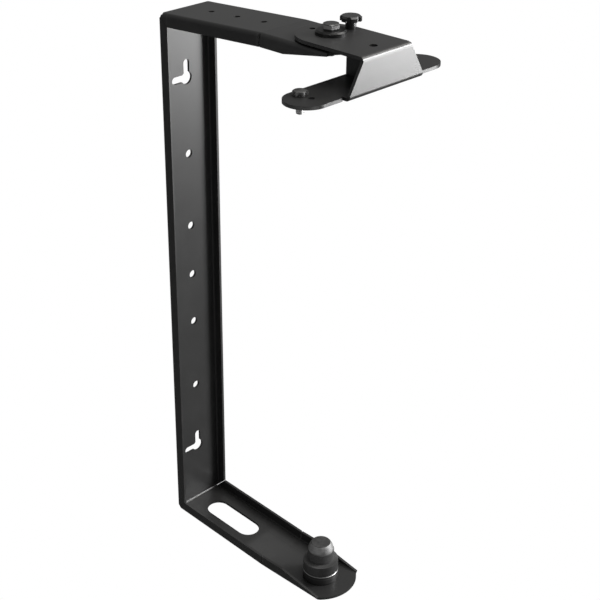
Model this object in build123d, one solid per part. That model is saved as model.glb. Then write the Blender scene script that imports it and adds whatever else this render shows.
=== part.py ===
from build123d import *
import os
from math import cos, radians, tan

# A wall bracket for one loudspeaker cabinet. A deep C of folded sheet steel fixes to the wall.
# A stub on its lower arm goes up into the socket under the cabinet, and a swivelling plate
# below its upper arm bolts to the cabinet's top.
# Millimetres. X runs along the wall, the arms reach toward -Y and Z is up. The origin is on the
# rear face of the back plate, on its centreline and at mid-height.

# Folded frame
sheet = 2.5
bend_inside = 1.0
wall_bend_inside = 3.0
frame_width = 60.0
frame_height = 540.0
flange_depth = 12.0
arm_flare = 3.6
seam_reach = 128.0
pivot_reach = 182.0
arm_end_radius = 38.0
arm_end_beyond_pivot = 35.4
flange_end_behind_tip = 12.4
taper_before_pivot = 26.0
taper_angle = 9.85
corner_gap = 0.3
corner_relief = 5.3
seam_gap = 1.2

# Holes in the frame
wall_hole = 8.0
wall_hole_heights = (0.0, 53.0, -53.0, 128.0, -128.0)
keyhole_height = 203.0
keyhole_entry = 12.5
keyhole_slot = 7.0
keyhole_reach = 18.0
vent_hole = 6.0
vent_reaches = (38.0, 71.0, 104.0)
arm_slot_width = 24.0
arm_slot_length = 68.0
arm_slot_reach = 55.0
m8_clearance = 8.4

# Swivel bracket, one sheet folded twice
swivel_sheet = 3.0
swivel_bend_inside = 1.0
swivel_gap = 1.5
swivel_web_reach = 62.0
swivel_drop = 32.8
web_half_bottom = 45.0
pad_length = 175.6
pad_radius = 19.25
pad_behind_web = 5.35
pad_notch = 2.6
pad_notch_depth = 2.0
pad_hole = 5.5
pad_hole_from_end = 22.7
pad_hole_before_middle = 2.35
speaker_bolt_from_end = 21.9
speaker_bolt_behind_middle = 9.2
swivel_rear_hole, swivel_rear_hole_at = 5.0, 21.0
swivel_front_hole, swivel_front_hole_at = 7.2, -45.7
rib_sheet = 3.0
rib_height = 16.0
rib_set_in = 0.5
rib_clear_of_arm = 4.1
running_gap = 0.05

# Fasteners: across flats, head height and thread radius of an M8 and of a quarter-inch bolt
m8_flats, m8_head, m8_radius = 13.0, 5.3, 4.0
quarter_flats, quarter_head, quarter_radius = 11.1, 4.1, 3.175
pivot_head_turn = 46.0
speaker_head_turn = 13.5
glide_washer_radius, glide_washer_height = 13.4, 1.4
pivot_washer_radius, pivot_washer_height = 13.0, 2.3
pivot_washer_bevel = 1.3
plain_washer_radius, plain_washer_height = 8.0, 1.6
friction_washer_radius = 15.0
lock_nut_height = 8.0
lock_nut_collar = 2.4
spring_washer_radius, spring_washer_height = 7.4, 2.0
pivot_bolt_tail = 1.6
speaker_bolt_neck = 3.4
speaker_bolt_tail = 12.6
clearance = 0.1

# Thumb screw
thumb_in_from_arm_side, thumb_ahead = 6.5, -0.5
stud_radius = 3.0
knob_radius = 9.25
knob_lobes = 6
knob_scallop = 2.5
knob_height = 4.3
knob_top_radius, knob_top_bevel = 7.7, 1.3
knob_hub_radius = 4.6
knob_hub_height = 6.6

# Spigot
spigot_base_radius, spigot_base_height = 17.8, 9.8
spigot_radius, spigot_collar_height = 17.5, 20.9
spigot_neck_radius, spigot_shoulder_top, spigot_neck_top = 13.2, 22.0, 33.2
spigot_nose_radius, spigot_nose_bulge = 12.7, 0.7
spigot_flat_radius, spigot_height = 9.3, 41.0
spigot_edge = 0.5

# Sizes that follow from the ones above
bend_outside = bend_inside + sheet
flare = radians(arm_flare)
arm_top = frame_height / 2 + seam_reach * tan(flare)
arm_inside = arm_top - sheet
arm_end_reach = pivot_reach + arm_end_beyond_pivot
taper_from = pivot_reach - taper_before_pivot
swivel_bottom = arm_top + swivel_gap
swivel_top = swivel_bottom + swivel_sheet
web_outside = pivot_reach + swivel_web_reach
web_inside = web_outside - swivel_sheet
pad_bottom = swivel_top - swivel_drop
pad_top = pad_bottom + swivel_sheet
pad_reach = web_outside - pad_behind_web - pad_radius
swivel_bend_outside = swivel_bend_inside + swivel_sheet
swivel_head_radius = frame_width / 2
web_half_top = swivel_head_radius
pad_left = -pad_length / 2
pad_hole_at = (pad_left + pad_hole_from_end, -pad_hole_before_middle - pad_reach)
speaker_bolt_at = (pad_left + speaker_bolt_from_end, speaker_bolt_behind_middle - pad_reach)
rib_rear = pad_reach - pad_radius + rib_set_in
rib_full_from = arm_end_reach + rib_clear_of_arm
thumb_at = (frame_width / 2 - thumb_in_from_arm_side, thumb_ahead - pivot_reach)

os.makedirs("parts", exist_ok=True)


def save(shape, node):
    shape.label = node
    export_step(shape, "parts/" + node + ".step")


def side_path(depth):
    """Corner points (y, z) of the C, seen from its side, a given depth in from its outside."""
    corner = (-depth, frame_height / 2 + depth * tan(flare) - depth / cos(flare))
    seam = (-seam_reach - depth * tan(flare / 2), arm_top - depth)
    end = (-arm_end_reach - 5, arm_top - depth)
    upper = [end, seam, corner]
    return upper + [(y, -z) for y, z in reversed(upper)]


def nearest_edges(shape, places):
    return [min(shape.edges(), key=lambda e: (e.center() - Vector(*p)).length) for p in places]


def side_block(near, far, width, wall_radius, radius):
    """The C between two depths, solid across its width, its near edges rounded like the bends."""
    line = side_path(near)
    outline = Polyline(*line, *reversed(side_path(far)), close=True)
    block = extrude(Plane.YZ * make_face(outline), amount=width / 2, both=True)
    block = fillet(nearest_edges(block, [(0, *line[2]), (0, *line[3])]), wall_radius)
    middles = []
    for (y0, z0), (y1, z1) in zip(line, line[1:]):
        for x in (-width / 2, width / 2):
            middles.append((x, (y0 + y1) / 2, (z0 + z1) / 2))
    return fillet(nearest_edges(block, middles), radius)


def cut_across(y, z, angle, thickness, length, x):
    """A thin slab through one flange, running from (y, z) at an angle from the -Y direction."""
    slab = Box(10, length, thickness, align=(Align.CENTER, Align.MAX, Align.CENTER))
    return Pos(x, y, z) * Rot(-angle, 0, 0) * slab


def wall_keyhole(z):
    """Entry hole with one narrow slot upward and one to the left."""
    narrow = keyhole_slot / 2
    run = keyhole_reach - narrow
    up = Pos(0, run / 2) * SlotCenterToCenter(run, keyhole_slot, rotation=90)
    left = Pos(-run / 2, 0) * SlotCenterToCenter(run, keyhole_slot)
    outline = Circle(keyhole_entry / 2) + up + left
    return Pos(0, 0, z) * extrude(Plane.XZ * outline, amount=sheet * 2, both=True)


def folded_frame():
    """One sheet: back plate, two arms flared up to a seam and level beyond it, flanges all round."""
    wall_bend_outside = wall_bend_inside + sheet
    body = side_block(0, flange_depth, frame_width, wall_bend_outside, bend_outside)
    inner_width = frame_width - 2 * sheet
    body -= side_block(sheet, flange_depth + 3, inner_width, wall_bend_inside, bend_inside)

    # The flanges taper away toward the ends of the arms.
    for up in (1, -1):
        start = (-taper_from, up * (arm_top - flange_depth))
        run = arm_end_reach - taper_from
        end = (-arm_end_reach, up * (arm_top - flange_depth + run * tan(radians(taper_angle))))
        below = (-arm_end_reach, up * (arm_top - 2 * flange_depth))
        wedge = make_face(Polyline(start, end, below, (start[0], below[1]), close=True))
        for x in (-1, 1):
            strip = extrude(Plane.YZ * wedge, amount=bend_outside)
            body -= Pos(x * frame_width / 2 - (bend_outside if x > 0 else 0), 0, 0) * strip

    # Round ends of both arms, the flanges cut off square a little beyond where they meet the arc
    tall = frame_height * 1.5
    flange_end = flange_end_behind_tip - arm_end_reach
    end_zone = Pos(0, -taper_from, 0) * Box(
        frame_width + 10, frame_height, tall, align=(Align.CENTER, Align.MAX, Align.CENTER)
    )
    end_round = Pos(0, arm_end_radius - arm_end_reach, 0) * Cylinder(arm_end_radius, tall + 10)
    flange_zone = Pos(0, flange_end, 0) * Box(
        frame_width + 20, frame_height, tall + 10, align=(Align.CENTER, Align.MIN, Align.CENTER)
    )
    body -= end_zone - end_round - flange_zone

    # At each wall corner the flanges part along a mitre line that starts in a small relief, and
    # the corner itself is cut away. At each seam in an arm a narrow saw cut parts them.
    mitre_angle = (90 - arm_flare) / 2
    corner_y, corner_z = side_path(bend_outside / 2)[2]
    seam_y, seam_z = side_path(bend_outside)[1]
    for up in (1, -1):
        for x in (-frame_width / 2, frame_width / 2):
            body -= cut_across(corner_y, up * corner_z, -up * mitre_angle, corner_gap, 30, x)
            body -= cut_across(seam_y, up * seam_z, -up * (90 - arm_flare / 2), seam_gap, 14, x)
            body -= Pos(x, 0, up * frame_height / 2) * Sphere(corner_relief)

    # Wall fixing holes
    for z in wall_hole_heights:
        body -= Pos(0, 0, z) * Rot(90, 0, 0) * Cylinder(wall_hole / 2, sheet * 4)
    for z in (keyhole_height, -keyhole_height):
        body -= wall_keyhole(z)

    # Small holes in the upper arm, one long slot in the lower one, the pivot and the stub's hole
    for reach in vent_reaches:
        z = frame_height / 2 + reach * tan(flare) - sheet / 2
        body -= Pos(0, -reach, z) * Rot(-arm_flare, 0, 0) * Cylinder(vent_hole / 2, sheet * 3)
    z = -(frame_height / 2 + arm_slot_reach * tan(flare) - sheet / 2)
    slot = extrude(SlotOverall(arm_slot_length, arm_slot_width, rotation=90), sheet * 2, both=True)
    body -= Pos(0, -arm_slot_reach, z) * Rot(arm_flare, 0, 0) * slot
    for up in (1, -1):
        z = up * (arm_top - sheet / 2)
        body -= Pos(0, -pivot_reach, z) * Cylinder(m8_clearance / 2, sheet * 3)
    return body


def swivel_bracket():
    """One sheet folded twice: head plate on the pivot, flaring web, long round-ended pad."""
    far = 60
    deep = web_outside - pivot_reach + far
    outside = Pos(-web_outside + deep / 2, (swivel_top + pad_bottom) / 2) * Rectangle(
        deep, swivel_drop
    )
    outside = fillet(outside.vertices().sort_by(Axis.X)[:2], swivel_bend_outside)
    inside = Pos(-web_inside + deep / 2, (swivel_top + pad_bottom) / 2) * Rectangle(
        deep, swivel_drop - 2 * swivel_sheet
    )
    inside = fillet(inside.vertices().sort_by(Axis.X)[:2], swivel_bend_inside)
    strip = extrude(Plane.YZ * (outside - inside), amount=110, both=True)

    # Head plate: round about the pivot, straight sides as far as the fold
    fold = web_outside - swivel_bend_outside
    run = fold - pivot_reach
    head = Circle(swivel_head_radius) + Pos(0, -run / 2) * Rectangle(2 * swivel_head_radius, run)
    head = Pos(0, -pivot_reach, swivel_bottom - 1) * extrude(head, swivel_sheet + 2)

    # Web: flares between the two folds, its upper corners rounded off
    upper = swivel_top - swivel_bend_outside + 0.4
    lower = pad_bottom + swivel_bend_outside
    sides = [(web_half_top, swivel_top), (web_half_top, upper), (web_half_bottom, lower)]
    sides.append((web_half_bottom, pad_bottom))
    web = make_face(Polyline(*sides, *[(-x, z) for x, z in reversed(sides)], close=True))
    web = fillet(web.vertices().sort_by(Axis.Y)[-2:], 1.2)
    web = extrude(Plane((0, 5 - fold, 0), x_dir=(1, 0, 0), z_dir=(0, -1, 0)) * web, 15)

    # Pad: a long rounded plate set back behind the web, with a notch at each end of their fold
    pad = extrude(SlotOverall(pad_length, 2 * pad_radius), swivel_sheet)
    for x in (-1, 1):
        notch = Box(pad_notch, 2 * pad_notch_depth, 20)
        pad -= Pos(x * (web_half_bottom + pad_notch / 2), -pad_radius, 0) * notch
    pad = Pos(0, -pad_reach, pad_bottom) * pad
    body = (strip & (head + web)) + pad

    body -= Pos(0, -pivot_reach, swivel_bottom) * Cylinder(m8_radius + 0.08, 20)
    rear = Pos(0, swivel_rear_hole_at - pivot_reach, swivel_bottom)
    body -= rear * Cylinder(swivel_rear_hole / 2, 9)
    front = Pos(0, swivel_front_hole_at - pivot_reach, swivel_bottom)
    body -= front * Cylinder(swivel_front_hole / 2, 9)
    body -= Pos(*thumb_at, swivel_bottom) * Cylinder(stud_radius + running_gap, 20)
    body -= Pos(*pad_hole_at, pad_bottom) * Cylinder(pad_hole / 2, 20)
    body -= Pos(*speaker_bolt_at, pad_bottom) * Cylinder(speaker_bolt_neck + clearance, 20)
    return body


def swivel_rib():
    """Upright plate welded behind the web, cut low where it passes under the end of the arm."""
    cut_off = 1.6
    low = pad_top + rib_height
    rear = -rib_rear
    full = -rib_full_from
    front = -web_inside
    points = [
        (rear, pad_top),
        (front + cut_off, pad_top),
        (front, pad_top + cut_off),
        (front, swivel_bottom - cut_off),
        (front + cut_off, swivel_bottom),
        (full, swivel_bottom),
        (full, low + 2),
        (full + 2, low),
        (rear, low),
    ]
    return extrude(Plane.YZ * make_face(Polyline(*points, close=True)), rib_sheet / 2, both=True)


def hexagon(flats, height, turn=0.0):
    """A hexagon head or nut, its upper corners turned off, one corner at an angle from +X."""
    corner = flats / 2 / cos(radians(30))
    slope = (corner - flats / 2 * 0.95) * tan(radians(30))
    outline = Polyline(
        (0, 0), (corner + 0.1, 0), (corner + 0.1, height - slope), (flats / 2 * 0.95, height),
        (0, height), close=True
    )
    blank = extrude(RegularPolygon(flats / 2, 6, major_radius=False, rotation=turn), height)
    return blank & revolve(Plane.XZ * make_face(outline), Axis.Z)


def bolt(flats, head, radius, length, turn=0.0):
    """Hexagon bolt standing on its head's underside at z = 0, shank downward."""
    point = 0.8
    shank = Pos(0, 0, -length) * extrude(Circle(radius), length)
    shank = chamfer(shank.edges().sort_by(Axis.Z)[0], point)
    return hexagon(flats, head, turn) + shank


def ring(outer, inner, height):
    return extrude(Circle(outer) - Circle(inner), height)


def turned(points, bore, bore_top):
    """A turned piece standing on z = 0 with a bore up to a given height."""
    profile = make_face(Polyline(*points, close=True))
    return revolve(Plane.XZ * profile, Axis.Z) - extrude(Circle(bore), bore_top)


def star_knob():
    """Hub with a round-topped head standing on z = 0, the head scalloped between its lobes."""
    head = Circle(knob_radius)
    between = 180 / knob_lobes
    for hollow in PolarLocations(knob_radius + knob_scallop / 3, knob_lobes, between):
        head -= hollow * Circle(knob_scallop)
    head = Pos(0, 0, knob_hub_height) * extrude(head, knob_height)
    top = knob_hub_height + knob_height
    outline = Polyline(
        (0, 0), (knob_radius + 0.1, 0), (knob_radius + 0.1, top - knob_top_bevel),
        (knob_top_radius, top), (0, top), close=True
    )
    head &= revolve(Plane.XZ * make_face(outline), Axis.Z)
    body = head + extrude(Circle(knob_hub_radius), knob_hub_height)
    return body - extrude(Circle(stud_radius), knob_hub_height + knob_height * 0.6)


# Frame
save(folded_frame(), "frame_channel")

# Pivot: bolt, steel washer on a nylon one, friction washer, plain washer, lock nut with its ring
pivot = Pos(0, -pivot_reach, 0)
top_of_glide = swivel_top + running_gap + glide_washer_height
top_of_washer = top_of_glide + pivot_washer_height
nut_top = arm_inside - plain_washer_height
nut_bottom = nut_top - lock_nut_height
save(
    pivot * Pos(0, 0, arm_top)
    * ring(friction_washer_radius, m8_radius + 0.1, swivel_gap - running_gap),
    "friction_washer",
)
save(
    pivot * Pos(0, 0, swivel_top + running_gap)
    * ring(glide_washer_radius, m8_radius + 0.1, glide_washer_height),
    "pivot_glide_washer",
)
steel_washer = ring(pivot_washer_radius, m8_radius + 0.1, pivot_washer_height)
outer_edge = steel_washer.edges().filter_by(GeomType.CIRCLE).sort_by(SortBy.RADIUS)[-2:]
steel_washer = chamfer(outer_edge.sort_by(Axis.Z)[-1], pivot_washer_bevel)
save(pivot * Pos(0, 0, top_of_glide) * steel_washer, "pivot_washer_top")
grip = top_of_washer - nut_bottom
pivot_bolt = bolt(m8_flats, m8_head, m8_radius, grip + pivot_bolt_tail, pivot_head_turn)
save(pivot * Pos(0, 0, top_of_washer) * pivot_bolt, "pivot_bolt")
save(
    pivot * Pos(0, 0, nut_top) * ring(plain_washer_radius, m8_radius + 0.2, plain_washer_height),
    "pivot_washer_bottom",
)
nut = Rot(180, 0, 0) * hexagon(m8_flats, lock_nut_height - lock_nut_collar)
nut += Pos(0, 0, -lock_nut_height) * extrude(Circle(m8_flats / 2 - 0.4), lock_nut_height)
nut -= Pos(0, 0, -lock_nut_height) * extrude(Circle(m8_radius), lock_nut_height)
nylon_seat = Pos(0, 0, -lock_nut_height) * extrude(Circle(m8_radius + 1.4), lock_nut_collar)
save(pivot * Pos(0, 0, nut_top) * (nut - nylon_seat), "pivot_lock_nut")
save(
    pivot * Pos(0, 0, nut_bottom) * ring(m8_radius + 1.4, m8_radius, lock_nut_collar),
    "pivot_nut_ring",
)

# Swivel bracket with its rib and the bolt for the cabinet
save(swivel_bracket(), "swivel_bracket")
save(swivel_rib(), "swivel_rib")
neck = Pos(0, 0, -swivel_sheet) * extrude(Circle(speaker_bolt_neck), swivel_sheet)
hanging = swivel_sheet + speaker_bolt_tail
hanging_bolt = bolt(quarter_flats, quarter_head, quarter_radius, hanging, speaker_head_turn)
save(Pos(*speaker_bolt_at, pad_top) * (hanging_bolt + neck), "speaker_bolt")

# Thumb screw: its tip presses on the arm and locks the swivel
knob_base = swivel_top + running_gap
stud_top = knob_base + knob_hub_height + knob_height * 0.6
stud_bottom = arm_top + running_gap
stud = extrude(Circle(stud_radius), stud_top - stud_bottom)
stud = chamfer(stud.edges().sort_by(Axis.Z)[0], 0.6)
save(Pos(*thumb_at, knob_base) * star_knob(), "thumb_knob")
save(Pos(*thumb_at, stud_bottom) * stud, "thumb_screw_stud")

# Spigot: base ring, collar and nose drawn down on the lower arm by a bolt from below
spigot = Pos(0, -pivot_reach, -arm_inside)
clear = m8_clearance / 2
base = [
    (0, 0),
    (spigot_base_radius, 0),
    (spigot_base_radius, spigot_base_height - spigot_edge),
    (spigot_base_radius - spigot_edge, spigot_base_height),
    (0, spigot_base_height),
]
save(spigot * turned(base, clear, spigot_base_height), "spigot_base_ring")
collar_top = spigot_collar_height - spigot_base_height
shoulder_top = spigot_shoulder_top - spigot_base_height
neck_top = spigot_neck_top - spigot_base_height
collar = [
    (0, 0),
    (spigot_radius - spigot_edge, 0),
    (spigot_radius, spigot_edge),
    (spigot_radius, collar_top),
    (spigot_neck_radius, shoulder_top),
    (spigot_neck_radius, neck_top - spigot_edge),
    (spigot_nose_radius, neck_top),
    (0, neck_top),
]
collar = turned(collar, clear, neck_top)
save(spigot * Pos(0, 0, spigot_base_height) * collar, "spigot_collar")
nose_height = spigot_height - spigot_neck_top
nose_middle = (spigot_nose_radius + spigot_flat_radius) / 2 + spigot_nose_bulge
nose_curve = ThreePointArc(
    (spigot_nose_radius, 0), (nose_middle, nose_height / 2), (spigot_flat_radius, nose_height)
)
nose_rest = Polyline(
    (spigot_flat_radius, nose_height), (0, nose_height), (0, 0), (spigot_nose_radius, 0)
)
nose = revolve(Plane.XZ * make_face([nose_curve, nose_rest]), Axis.Z)
nose -= extrude(Circle(m8_radius), nose_height * 0.7)
save(spigot * Pos(0, 0, spigot_neck_top) * nose, "spigot_nose")
spring_washer = ring(spring_washer_radius, m8_radius + 0.2, spring_washer_height)
cut = Box(10, 1.2, 10, align=(Align.MIN, Align.CENTER, Align.CENTER))
spring_washer -= Pos(0, 0, spring_washer_height / 2) * Rot(25, 0, 0) * cut
save(
    Pos(0, -pivot_reach, -arm_top - spring_washer_height) * spring_washer,
    "spigot_spring_washer",
)
spigot_bolt_length = spring_washer_height + sheet + spigot_neck_top + nose_height * 0.6
save(
    Pos(0, -pivot_reach, -arm_top - spring_washer_height)
    * Rot(180, 0, 0)
    * bolt(m8_flats, m8_head, m8_radius, spigot_bolt_length),
    "spigot_bolt",
)
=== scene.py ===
import bpy
import bmesh
from math import cos, pi, radians, sin
from mathutils import Matrix, Vector


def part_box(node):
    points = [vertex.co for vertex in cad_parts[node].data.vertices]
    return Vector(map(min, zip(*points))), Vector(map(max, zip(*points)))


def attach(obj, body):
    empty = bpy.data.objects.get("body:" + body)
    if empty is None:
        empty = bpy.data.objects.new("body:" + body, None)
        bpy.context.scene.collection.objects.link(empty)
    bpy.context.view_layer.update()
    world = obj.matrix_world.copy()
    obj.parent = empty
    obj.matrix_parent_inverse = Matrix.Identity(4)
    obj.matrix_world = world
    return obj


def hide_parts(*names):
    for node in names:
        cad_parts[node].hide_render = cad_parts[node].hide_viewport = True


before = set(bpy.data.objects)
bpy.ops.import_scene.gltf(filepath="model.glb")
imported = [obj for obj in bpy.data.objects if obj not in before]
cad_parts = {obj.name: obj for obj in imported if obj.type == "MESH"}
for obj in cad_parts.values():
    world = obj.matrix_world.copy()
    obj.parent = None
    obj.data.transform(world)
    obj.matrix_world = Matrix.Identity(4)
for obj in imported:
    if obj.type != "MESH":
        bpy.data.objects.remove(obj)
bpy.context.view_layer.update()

# Camera: to the left of the bracket, in front of it and above, close enough for the arms to
# converge a little. The bracket fills the picture from its top edge to its bottom edge.
eye = Vector((-0.80397, -0.91164, 0.60186))
turn, rise, tip = radians(-46.53), radians(27.52), radians(0.56)
picture_focal_px, picture_px, film_mm = 1355.92, 600.0, 36.0
back = Vector((sin(turn) * cos(rise), -cos(turn) * cos(rise), sin(rise)))
side = (-back).cross(Vector((0, 0, 1))).normalized()
over = side.cross(-back)
right = side * cos(tip) + over * sin(tip)
up = over * cos(tip) - side * sin(tip)
lens = bpy.data.cameras.new("camera")
lens.sensor_fit = "HORIZONTAL"
lens.sensor_width = film_mm
lens.lens = picture_focal_px / picture_px * film_mm
lens.shift_x = 0.0005
lens.clip_start, lens.clip_end = 0.05, 80
camera = bpy.data.objects.new("camera", lens)
camera.matrix_world = Matrix.Translation(eye) @ Matrix((right, up, back)).transposed().to_4x4()
bpy.context.collection.objects.link(camera)
bpy.context.scene.camera = camera
bpy.context.scene.view_settings.view_transform = "Standard"

# Floor: a wide pale sheet well below the bracket, as if the wall were taken away. The camera
# sees it as white, and the coat and the fasteners mirror it as the grey of a studio floor.
floor_level, floor_half = -1.1, 40.0
floor_paleness, mirrored_strength, seen_strength = 0.62, 0.11, 1.0
floor_mesh = bpy.data.meshes.new("floor")
shape = bmesh.new()
bmesh.ops.create_grid(shape, x_segments=1, y_segments=1, size=floor_half)
bmesh.ops.translate(shape, verts=shape.verts, vec=(0, 0, floor_level))
shape.to_mesh(floor_mesh)
shape.free()
floor = bpy.data.objects.new("floor", floor_mesh)
bpy.context.collection.objects.link(floor)
paint = bpy.data.materials.new("pale_floor")
paint.use_nodes = True
tree = paint.node_tree
tree.nodes.clear()
rays = tree.nodes.new("ShaderNodeLightPath")
mirrored = tree.nodes.new("ShaderNodeMath")
mirrored.operation = "MAXIMUM"
tree.links.new(rays.outputs["Is Glossy Ray"], mirrored.inputs[0])
tree.links.new(rays.outputs["Is Transmission Ray"], mirrored.inputs[1])
matt = tree.nodes.new("ShaderNodeBsdfDiffuse")
matt.inputs["Color"].default_value = (floor_paleness, floor_paleness, floor_paleness, 1)
look = matt.outputs["BSDF"]
for ray, strength in (
    (mirrored.outputs["Value"], mirrored_strength), (rays.outputs["Is Camera Ray"], seen_strength)
):
    glow = tree.nodes.new("ShaderNodeEmission")
    glow.inputs["Color"].default_value = (1, 1, 1, 1)
    glow.inputs["Strength"].default_value = strength
    seen_by = tree.nodes.new("ShaderNodeMixShader")
    tree.links.new(ray, seen_by.inputs["Fac"])
    tree.links.new(look, seen_by.inputs[1])
    tree.links.new(glow.outputs["Emission"], seen_by.inputs[2])
    look = seen_by.outputs["Shader"]
surface = tree.nodes.new("ShaderNodeOutputMaterial")
tree.links.new(look, surface.inputs["Surface"])
floor.data.materials.append(paint)

# Studio light: a dim grey room, a soft ceiling and two soft boxes to the right in front, which
# the web, its fold and the top of the back plate mirror. A small card stands on the left for
# the turned nose of the spigot.
room_strength = 0.2
world = bpy.data.worlds.new("studio")
bpy.context.scene.world = world
world.use_nodes = True
world.node_tree.nodes["Background"].inputs["Color"].default_value = (1, 1, 1, 1)
world.node_tree.nodes["Background"].inputs["Strength"].default_value = room_strength


def soft_box(name, place, target, width, height, watts, colour=(1, 1, 1)):
    """A rectangular lamp at a place, turned toward a target."""
    lamp = bpy.data.lights.new(name, "AREA")
    lamp.color = colour
    lamp.shape = "RECTANGLE"
    lamp.size, lamp.size_y, lamp.energy = width, height, watts
    stand = bpy.data.objects.new(name, lamp)
    aim = (Vector(target) - Vector(place)).to_track_quat("-Z", "Y")
    stand.matrix_world = Matrix.Translation(place) @ aim.to_matrix().to_4x4()
    bpy.context.collection.objects.link(stand)


soft_box(
    "soft_box_right", place=(1.94, -1.82, 0.15), target=(0, -0.1, 0.15),
    width=1.15, height=1.5, watts=75
)
soft_box(
    "soft_box_upper", place=(1.85, -1.65, 1.3), target=(0, -0.1, 0.2),
    width=0.7, height=0.8, watts=50
)
soft_box(
    "ceiling", place=(0.8, -0.8, 2.3), target=(0, -0.1, 0.1),
    width=2.4, height=2.4, watts=57, colour=(1, 0.985, 0.955)
)
soft_box(
    "card_left", place=(-2.6, -0.3, 0.4), target=(0, -0.18, -0.25),
    width=1.1, height=0.5, watts=2.4
)

# The frame: one sheet of 2.5 mm steel, cut, folded into a channel-section C and powder coated
# in satin black. The coat has a faint orange peel. Its colour carries painted highlights in
# places, and painted shade, with a rougher coat, on cut edges and in the saw cuts.


def speckle(material, scale, detail, stretch=None):
    """A cloudy pattern from 0 to 1, which stays with its piece."""
    nodes, links = material.node_tree.nodes, material.node_tree.links
    place = nodes.new("ShaderNodeTexCoord").outputs["Object"]
    if stretch:
        squeeze = nodes.new("ShaderNodeMapping")
        squeeze.inputs["Scale"].default_value = stretch
        links.new(place, squeeze.inputs["Vector"])
        place = squeeze.outputs["Vector"]
    cloud = nodes.new("ShaderNodeTexNoise")
    cloud.inputs["Scale"].default_value = scale
    cloud.inputs["Detail"].default_value = detail
    links.new(place, cloud.inputs["Vector"])
    return cloud.outputs["Fac"]


def vary(material, socket, cloud, least, most, low=0, high=1):
    """Moves an input of the shader between two values as a speckle goes from low to high."""
    nodes, links = material.node_tree.nodes, material.node_tree.links
    spread = nodes.new("ShaderNodeMapRange")
    spread.inputs["From Min"].default_value = low
    spread.inputs["From Max"].default_value = high
    spread.inputs["To Min"].default_value = least
    spread.inputs["To Max"].default_value = most
    links.new(cloud, spread.inputs["Value"])
    value = spread.outputs["Result"]
    if socket == "Base Color":
        grey = nodes.new("ShaderNodeCombineColor")
        for channel in ("Red", "Green", "Blue"):
            links.new(value, grey.inputs[channel])
        value = grey.outputs["Color"]
    links.new(value, nodes["Principled BSDF"].inputs[socket])


def emboss(material, cloud, strength, depth):
    """Raises a speckle a little out of the surface."""
    nodes, links = material.node_tree.nodes, material.node_tree.links
    bump = nodes.new("ShaderNodeBump")
    bump.inputs["Strength"].default_value = strength
    bump.inputs["Distance"].default_value = depth
    links.new(cloud, bump.inputs["Height"])
    links.new(bump.outputs["Normal"], nodes["Principled BSDF"].inputs["Normal"])


def powder_coat(name, colour=0.0215, rough=0.32, peel=0.1, gloss_index=1.55):
    """A baked coat of paint: a cloud of close shades, and the fine peel of its surface."""
    coat = bpy.data.materials.new(name)
    coat.use_nodes = True
    coat.node_tree.nodes["Principled BSDF"].inputs["IOR"].default_value = gloss_index
    cloud = speckle(coat, scale=35, detail=3)
    vary(coat, "Base Color", cloud, colour * 0.8, colour * 1.2)
    vary(coat, "Roughness", cloud, rough - 0.025, rough + 0.025)
    emboss(coat, speckle(coat, scale=900, detail=2), strength=peel, depth=0.0002)
    return coat


def within(material, **sides):
    """A mask in a material: 1 inside a box with sides of (low, high, soft), 0 outside it."""
    nodes, links = material.node_tree.nodes, material.node_tree.links
    place = nodes.new("ShaderNodeTexCoord")
    split = nodes.new("ShaderNodeSeparateXYZ")
    links.new(place.outputs["Object"], split.inputs["Vector"])
    masks = []
    for axis, (low, high, soft) in sides.items():
        away = nodes.new("ShaderNodeMath")
        away.operation = "SUBTRACT"
        away.inputs[1].default_value = (low + high) / 2
        links.new(split.outputs[axis], away.inputs[0])
        distance = nodes.new("ShaderNodeMath")
        distance.operation = "ABSOLUTE"
        links.new(away.outputs["Value"], distance.inputs[0])
        fade = nodes.new("ShaderNodeMapRange")
        fade.inputs["From Min"].default_value = (high - low) / 2 - soft
        fade.inputs["From Max"].default_value = (high - low) / 2 + soft
        fade.inputs["To Min"].default_value = 1
        fade.inputs["To Max"].default_value = 0
        links.new(distance.outputs["Value"], fade.inputs["Value"])
        masks.append(fade.outputs["Result"])
    while len(masks) > 1:
        both = nodes.new("ShaderNodeMath")
        both.operation = "MULTIPLY"
        links.new(masks.pop(), both.inputs[0])
        links.new(masks.pop(), both.inputs[1])
        masks.append(both.outputs["Value"])
    return masks[0]


def scale_input(material, socket, mask, factor):
    """Multiplies what feeds an input of the shader by a factor where a mask is 1."""
    nodes, links = material.node_tree.nodes, material.node_tree.links
    target = nodes["Principled BSDF"].inputs[socket]
    by = nodes.new("ShaderNodeMapRange")
    by.inputs["To Min"].default_value = 1
    by.inputs["To Max"].default_value = factor
    links.new(mask, by.inputs["Value"])
    scaled = nodes.new("ShaderNodeVectorMath")
    scaled.operation = "SCALE"
    links.new(target.links[0].from_socket, scaled.inputs[0])
    links.new(by.outputs["Result"], scaled.inputs["Scale"])
    links.new(scaled.outputs["Vector"], target)


def wear_and_painted_light(material, colour=1, roughness=1, **sides):
    """Makes a finish paler or darker, and rougher or smoother, inside a box: painted highlights
    and shade, and wear.
    """
    mask = within(material, **sides)
    for socket, factor in (("Base Color", colour), ("Roughness", roughness)):
        if factor != 1:
            scale_input(material, socket, mask, factor)


def finish_node(node, material):
    """Gives a solid its material."""
    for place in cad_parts[node].material_slots:
        place.material = material


frame_coat = powder_coat("frame_coat")
left_flange, right_flange = (-0.0350, -0.0286, 0.0002), (0.0286, 0.0350, 0.0002)
upper_arm, flange_edge = (0.2300, 0.2900, 0.0010), (-0.0125, -0.0115, 0.0001)
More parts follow.
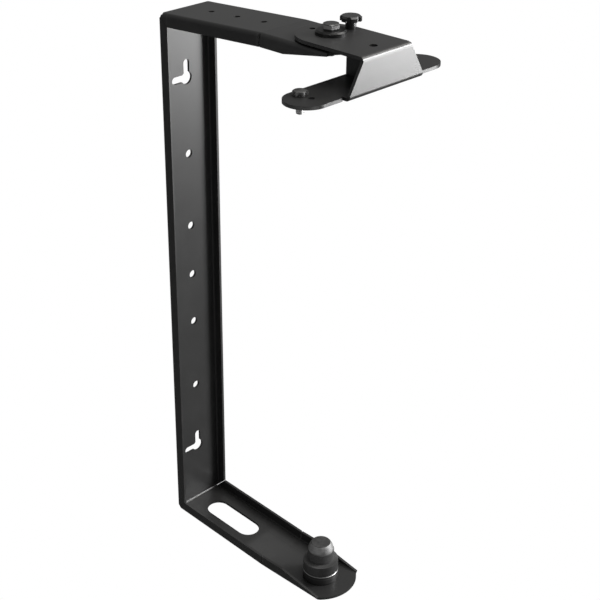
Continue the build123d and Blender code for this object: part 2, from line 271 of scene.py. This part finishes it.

# Painted shade darkens the saw cuts at the seams, which are rougher too, and a painted highlight
# lightens the coat beside them. The lower arm's left one is closed.
highlight_beside_cut, shade_in_cut = (-0.1315, -0.1245, 0.0008), (-0.1299, -0.1273, 0.0003)
for flange in ({"X": left_flange, "Z": upper_arm}, {"X": right_flange}):
    wear_and_painted_light(frame_coat, Y=highlight_beside_cut, colour=1.5, **flange)
    wear_and_painted_light(frame_coat, Y=shade_in_cut, colour=0.12, roughness=2.2, **flange)

# A painted highlight lightens the floor of the lower arm along its middle, and painted shade
# darkens the right-hand wall of its slot, which is rougher too.
highlight_across, highlight_along = (-0.0270, 0.0160, 0.0090), (-0.1500, -0.0800, 0.0200)
arm_floor = (-0.2790, -0.2735, 0.0002)
wear_and_painted_light(frame_coat, X=highlight_across, Y=highlight_along, Z=arm_floor, colour=1.75)
slot_wall, slot_depth = (0.01188, 0.01204, 0.00004), (-0.2820, -0.2660, 0.0005)
wear_and_painted_light(frame_coat, X=slot_wall, Z=slot_depth, colour=0.3, roughness=2)

# Painted highlights lighten the right-hand flange along its bend, the left-hand one on its edge
# high up, and on the front stretch of the upper arm. Painted shade darkens the right-hand
# flange's edge, which is rougher too.
bend_across, bend_from_wall = (0.0262, 0.0284, 0.0001), (-0.0043, -0.0031, 0.0003)
wear_and_painted_light(frame_coat, X=bend_across, Y=bend_from_wall, colour=2.6)
right_edge, high_up = (0.0268, 0.0310, 0.0001), (0.0300, 0.3300, 0.0600)
wear_and_painted_light(frame_coat, X=right_edge, Y=flange_edge, colour=0.6, roughness=1.6)
wear_and_painted_light(frame_coat, X=left_flange, Y=flange_edge, Z=high_up, colour=1.9)
arm_front, arm_side = (-0.2200, -0.1330, 0.0015), (0.2500, 0.2790, 0.0001)
wear_and_painted_light(frame_coat, X=left_flange, Y=arm_front, Z=arm_side, colour=1.35)
finish_node("frame_channel", frame_coat)

# Corner welds: a short bead on the inner side of each left-hand mitre of the frame, which joins
# the flanges that meet there. The beads were laid before the frame was coated, and are as black.
weld_x, weld_radius = -0.0276, 0.0019
corner_y, corner_height = -0.0022, 0.2679
edge_y, edge_height = -0.0115, 0.2592


def weld_bead(shape, start, end, radius, ripple=0.0013, ripple_depth=0.1):
    """Adds a rippled rod with closed round ends, half sunk in the corner that it fills."""
    bead = bmesh.new()
    dots_a_ripple, facets = 4, 12
    start, end = Vector(start), Vector(end)
    axis = (end - start).normalized()
    aside = axis.cross(Vector((1, 0, 0))).normalized()
    count = int((end - start).length / ripple) * dots_a_ripple
    dots = []
    for step in range(count + 1):
        round_end = min(1, min(step, count - step) / dots_a_ripple) ** 0.5
        rippled = 1 - ripple_depth * abs(cos(pi * step / dots_a_ripple))
        reach = radius * round_end * rippled
        dots.append(bead.verts.new(start.lerp(end, step / count) + aside * reach))
    lines = [bead.edges.new(pair) for pair in zip(dots, dots[1:])]
    bmesh.ops.spin(
        bead, geom=dots + lines, cent=start, axis=axis, angle=2 * pi, steps=facets,
        use_merge=True
    )
    bmesh.ops.remove_doubles(bead, verts=bead.verts, dist=1e-6)
    bmesh.ops.recalc_face_normals(bead, faces=bead.faces)
    rod = bpy.data.meshes.new("bead")
    bead.to_mesh(rod)
    bead.free()
    shape.from_mesh(rod)
    bpy.data.meshes.remove(rod)


def painted_welds(shape, name):
    """One piece from the beads in a shape, under a rough coat."""
    for face in shape.faces:
        face.smooth = True
    mesh = bpy.data.meshes.new(name)
    shape.to_mesh(mesh)
    shape.free()
    welds = bpy.data.objects.new(name, mesh)
    bpy.context.collection.objects.link(welds)
    mesh.materials.append(powder_coat(name + "_coat", rough=0.4, peel=0.3))
    return welds


shape = bmesh.new()
for level in (-1, 1):
    corner = (weld_x, corner_y, level * corner_height)
    edge = (weld_x, edge_y, level * edge_height)
    weld_bead(shape, corner, edge, weld_radius)
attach(painted_welds(shape, "corner_welds"), "frame")

# Friction washer: a flat ring of black nylon between the arm and the swivel, which slides on it.
# It is cut from sheet, so its faces are matt with a fine grain.


def nylon(name, colour=0.01, rough=0.45, grain_scale=1500, grain_strength=0.15):
    """A hard plastic with a fine grain."""
    plastic = bpy.data.materials.new(name)
    plastic.use_nodes = True
    plastic.node_tree.nodes["Principled BSDF"].inputs["IOR"].default_value = 1.53
    grain = speckle(plastic, scale=grain_scale, detail=3)
    vary(plastic, "Base Color", grain, colour * 0.8, colour * 1.25)
    vary(plastic, "Roughness", grain, rough - 0.04, rough + 0.04)
    emboss(plastic, grain, strength=grain_strength, depth=0.0001)
    return plastic


finish_node("friction_washer", nylon("friction_washer_nylon"))

# Swivel bracket: 3 mm steel folded twice and coated like the frame. The coat is duller on the
# head plate and on the pad, and glossier on the web and round the pad's rim, which mirror the
# light. Painted shade darkens both round ends of the pad on top, and painted highlights lighten
# the left one's rim and the head plate's rim.
swivel_coat = powder_coat("swivel_coat", rough=0.44, peel=0.06)
web_between_folds, head_rim_highlight = (0.2535, 0.2824, 0.0001), (0.2797, 0.2824, 0.0001)
pad_rim, pad_top = (0.2490, 0.2526, 0.0001), (0.2526, 0.2532, 0.0001)
pad_tip_highlight = (-0.0880, -0.0750, 0.0020)
wear_and_painted_light(swivel_coat, Z=web_between_folds, roughness=0.61)
wear_and_painted_light(swivel_coat, Z=pad_rim, roughness=0.66)
wear_and_painted_light(swivel_coat, Z=head_rim_highlight, colour=1.6)
wear_and_painted_light(swivel_coat, X=pad_tip_highlight, Z=pad_rim, colour=4)
left_end, right_end = (-0.1000, -0.0460, 0.0120), (0.0440, 0.1000, 0.0120)
for pad_end in (left_end, right_end):
    wear_and_painted_light(swivel_coat, X=pad_end, Z=pad_top, colour=0.65)
finish_node("swivel_bracket", swivel_coat)

# Rib: a 3 mm plate set upright behind the web and coated with the bracket. Two fillet welds on
# its right-hand side, rippled as the torch moved, fix it to the pad and to the web.
rib_side, fillet = 0.0015, 0.0018
pad_surface, rib_rear, rib_front = 0.252753, -0.2035, -0.2385
web_rear, web_bead_low, web_bead_high = -0.241, 0.2555, 0.2765
finish_node("swivel_rib", powder_coat("rib_coat", rough=0.33, peel=0.12))
shape = bmesh.new()
weld_bead(
    shape, (rib_side, rib_rear, pad_surface), (rib_side, rib_front, pad_surface), fillet
)
weld_bead(
    shape, (rib_side, web_rear, web_bead_low), (rib_side, web_rear, web_bead_high), fillet
)
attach(painted_welds(shape, "rib_welds"), "swivel")

# Thumb screw: a zinc-plated stud with a star knob of black plastic moulded round its top. The
# knob is a hard, half-glossy plastic with small marks from handling.


def plated_steel(name, colour, rough, scratch=0.15):
    """Plated or bare steel, a little cloudy and finely scratched."""
    plate = bpy.data.materials.new(name)
    plate.use_nodes = True
    plate.node_tree.nodes["Principled BSDF"].inputs["Metallic"].default_value = 1.0
    cloud = speckle(plate, scale=250, detail=4)
    vary(plate, "Base Color", cloud, colour * 0.8, colour * 1.15, low=0.3, high=0.7)
    vary(plate, "Roughness", cloud, rough - 0.06, rough + 0.08, low=0.3, high=0.7)
    emboss(plate, cloud, strength=scratch, depth=0.0001)
    return plate


finish_node("thumb_screw_stud", plated_steel("stud_plating", colour=0.45, rough=0.35))
knob_plastic = nylon(
    "knob_plastic", colour=0.022, rough=0.26, grain_scale=700, grain_strength=0.12
)
finish_node("thumb_knob", knob_plastic)

# Washers on the swivel: a black nylon one to slide on, and over it a thick steel one with a
# turned bevel, blackened. Round the bevel painted highlights lighten its front-left and its
# right, and painted shade darkens the front between them.
finish_node("pivot_glide_washer", nylon("glide_washer_nylon", colour=0.006, rough=0.4))
washer_blackening = plated_steel("washer_blackening", colour=0.05, rough=0.36, scratch=0.05)
bevel, bevel_light_blur = (0.2848, 0.2862, 0.0001), 0.0006
bevel_light_and_shade = (
    (-0.0140, -0.0102, 1.6), (-0.0096, -0.0048, 0.45), (-0.0034, 0.0140, 1.3)
)
for low_x, high_x, paleness in bevel_light_and_shade:
    wear_and_painted_light(washer_blackening, X=(low_x, high_x, bevel_light_blur), Z=bevel, colour=paleness)
finish_node("pivot_washer_top", washer_blackening)

# Pivot bolt and its nut: M8 steel, zinc plated, passing through swivel and arm. Painted shade
# darkens the foot of the head and its top. The lock nut below has a ring of nylon in its
# collar, and a plain washer between it and the arm.
bolt_plating = plated_steel("pivot_bolt_plating", colour=0.46, rough=0.36)
head_foot_shade, head_top_shade = (0.2860, 0.2876, 0.0002), (0.2907, 0.2925, 0.0002)
wear_and_painted_light(bolt_plating, Z=head_foot_shade, colour=0.12)
wear_and_painted_light(bolt_plating, Z=head_top_shade, colour=0.35)
finish_node("pivot_bolt", bolt_plating)
finish_node("pivot_washer_bottom", plated_steel("plain_washer_plating", colour=0.3, rough=0.35))
finish_node("pivot_lock_nut", plated_steel("lock_nut_plating", colour=0.3, rough=0.35))
finish_node("pivot_nut_ring", nylon("nut_ring_nylon", colour=0.3, rough=0.5))

# Cabinet bolt: a quarter-inch hexagon bolt hanging in the pad's hole, blackened and worn bright
# on its thread. Its head and neck are the solid's, and the plain shank below the pad gives way
# to a rolled thread with a short point.
pad_underside, bolt_tip = 0.249753, 0.237153
thread_radius, thread_pitch, thread_facets = 0.0034, 0.00127, 28


def rolled_thread(shape, axis_at, radius, pitch, low, high):
    """Adds a threaded length with flat ends, standing on an upright axis."""
    thread = bmesh.new()
    spare_turns, depth = 2, 0.6 * pitch
    turns, root = int((high - low) / pitch) + 2 * spare_turns, radius - depth
    start = low - spare_turns * pitch
    # One turn's outline: how far out it is, and how far up as a share of the pitch
    profile = ((root, 0), (radius, 0.42), (radius, 0.54), (root, 0.96), (root, 1.0))
    dots = [thread.verts.new((out, 0, start + rise * pitch)) for out, rise in profile]
    lines = [thread.edges.new(pair) for pair in zip(dots, dots[1:])]
    bmesh.ops.spin(
        thread, geom=dots + lines, cent=(0, 0, 0), axis=(0, 0, 1),
        dvec=(0, 0, pitch / thread_facets), angle=2 * pi * turns,
        steps=thread_facets * turns
    )
    bmesh.ops.remove_doubles(thread, verts=thread.verts, dist=2e-6)
    for level, outward in ((low, -1), (high, 1)):
        everything = thread.verts[:] + thread.edges[:] + thread.faces[:]
        bmesh.ops.bisect_plane(
            thread, geom=everything, dist=1e-7, plane_co=(0, 0, level),
            plane_no=(0, 0, outward), clear_outer=True
        )
    open_edges = [edge for edge in thread.edges if edge.is_boundary]
    bmesh.ops.holes_fill(thread, edges=open_edges, sides=0)
    bmesh.ops.recalc_face_normals(thread, faces=thread.faces)
    bmesh.ops.translate(thread, verts=thread.verts, vec=(axis_at[0], axis_at[1], 0))
    rod = bpy.data.meshes.new("rod")
    thread.to_mesh(rod)
    thread.free()
    shape.from_mesh(rod)
    bpy.data.meshes.remove(rod)


def threaded_bolt(name, node, cut_level, tip, radius, pitch, material):
    """A copy of the solid bolt whose shank below a level is threaded down to its tip."""
    shape = bmesh.new()
    shape.from_mesh(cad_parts[node].data)
    bmesh.ops.remove_doubles(shape, verts=shape.verts, dist=1e-6)
    everything = shape.verts[:] + shape.edges[:] + shape.faces[:]
    bmesh.ops.bisect_plane(
        shape, geom=everything, dist=1e-7, plane_co=(0, 0, cut_level), plane_no=(0, 0, -1),
        clear_outer=True
    )
    open_edges = [edge for edge in shape.edges if edge.is_boundary]
    bmesh.ops.holes_fill(shape, edges=open_edges, sides=0)
    low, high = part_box(node)
    axis_at = ((low.x + high.x) / 2, (low.y + high.y) / 2)
    point, overlap, sharp_angle = 0.6 * pitch, 0.0002, radians(28)
    point_end_radius, point_root_radius = radius - 1.1 * pitch, radius - 0.35 * pitch
    rolled_thread(shape, axis_at, radius, pitch, tip + point, cut_level + overlap)
    bmesh.ops.create_cone(
        shape, cap_ends=True, segments=thread_facets, radius1=point_end_radius,
        radius2=point_root_radius, depth=point,
        matrix=Matrix.Translation((axis_at[0], axis_at[1], tip + point / 2))
    )
    bmesh.ops.recalc_face_normals(shape, faces=shape.faces)
    for face in shape.faces:
        face.smooth = True
    mesh = bpy.data.meshes.new(name)
    shape.to_mesh(mesh)
    shape.free()
    mesh.set_sharp_from_angle(angle=sharp_angle)
    bolt = bpy.data.objects.new(name, mesh)
    bpy.context.collection.objects.link(bolt)
    mesh.materials.append(material)
    return bolt


cabinet_bolt_plating = plated_steel("speaker_bolt_plating", colour=0.34, rough=0.58)
cabinet_bolt_top_shade, cabinet_bolt_thread = (0.2562, 0.2580, 0.0002), (0.2300, 0.2497, 0.0002)
# Painted shade darkens the top of the head.
wear_and_painted_light(cabinet_bolt_plating, Z=cabinet_bolt_top_shade, colour=0.4)
wear_and_painted_light(cabinet_bolt_plating, Z=cabinet_bolt_thread, colour=2.2)
cabinet_bolt = threaded_bolt(
    "speaker_bolt_threaded", "speaker_bolt", cut_level=pad_underside, tip=bolt_tip,
    radius=thread_radius, pitch=thread_pitch, material=cabinet_bolt_plating
)
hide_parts("speaker_bolt")
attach(cabinet_bolt, "swivel")

# Spigot: a coated base ring and collar, and a nose of turned steel that leads the cabinet's
# socket on. Sockets have rubbed the base ring's upper edge bare. A bolt from below draws the
# three down on the arm, with a spring washer under its head.


def turned_lines(material, paleness):
    """Fine pale lines, level round an upright turned piece, as the tool left them."""
    lines = speckle(material, scale=1, detail=2, stretch=(6, 6, 1500))
    contrast = material.node_tree.nodes.new("ShaderNodeMapRange")
    contrast.inputs["From Min"].default_value = 0.5
    contrast.inputs["From Max"].default_value = 0.7
    material.node_tree.links.new(lines, contrast.inputs["Value"])
    scale_input(material, "Base Color", contrast.outputs["Result"], paleness)


base_coat = powder_coat("spigot_base_coat", colour=0.028, gloss_index=1.45)
base_shader = base_coat.node_tree.nodes["Principled BSDF"]
bare_edge = within(base_coat, Z=(-0.2664, -0.2650, 0.0001))
base_coat.node_tree.links.new(bare_edge, base_shader.inputs["Metallic"])
scale_input(base_coat, "Base Color", bare_edge, 11)
# A paler line runs round the base ring, and painted shade darkens its foot where it stands on the
# arm.
pale_line, foot_shade = (-0.2695, -0.2683, 0.0003), (-0.2765, -0.2746, 0.0003)
wear_and_painted_light(base_coat, Z=pale_line, colour=1.7)
wear_and_painted_light(base_coat, Z=foot_shade, colour=0.2)
finish_node("spigot_base_ring", base_coat)

collar_coat = powder_coat("spigot_collar_coat", colour=0.055, rough=0.6, gloss_index=1.35)
collar_front_shade = (-0.2060, -0.1945, 0.0030)
turned_lines(collar_coat, paleness=1.4)
# Painted shade darkens the collar's front.
wear_and_painted_light(collar_coat, Y=collar_front_shade, colour=0.35)
finish_node("spigot_collar", collar_coat)

nose_turning = plated_steel("spigot_nose_turning", colour=0.25, rough=0.6, scratch=0.08)
nose_flat, nose_foot_highlight = (-0.2349, -0.2340, 0.0001), (-0.2430, -0.2385, 0.0015)
nose_left_highlight, nose_front_shade = (-0.0140, -0.0088, 0.0010), (-0.1980, -0.1912, 0.0010)
# The nose is darker on its flat end. Painted highlights lighten it low down and on its left, and
# painted shade darkens its front.
wear_and_painted_light(nose_turning, Z=nose_flat, colour=0.37)
wear_and_painted_light(nose_turning, Z=nose_foot_highlight, colour=1.3)
wear_and_painted_light(nose_turning, X=nose_left_highlight, colour=1.3)
wear_and_painted_light(nose_turning, Y=nose_front_shade, colour=0.8)
turned_lines(nose_turning, paleness=1.25)
finish_node("spigot_nose", nose_turning)

finish_node("spigot_spring_washer", plated_steel("spring_washer_plating", colour=0.3, rough=0.35))
finish_node("spigot_bolt", plated_steel("spigot_bolt_plating", colour=0.3, rough=0.38))
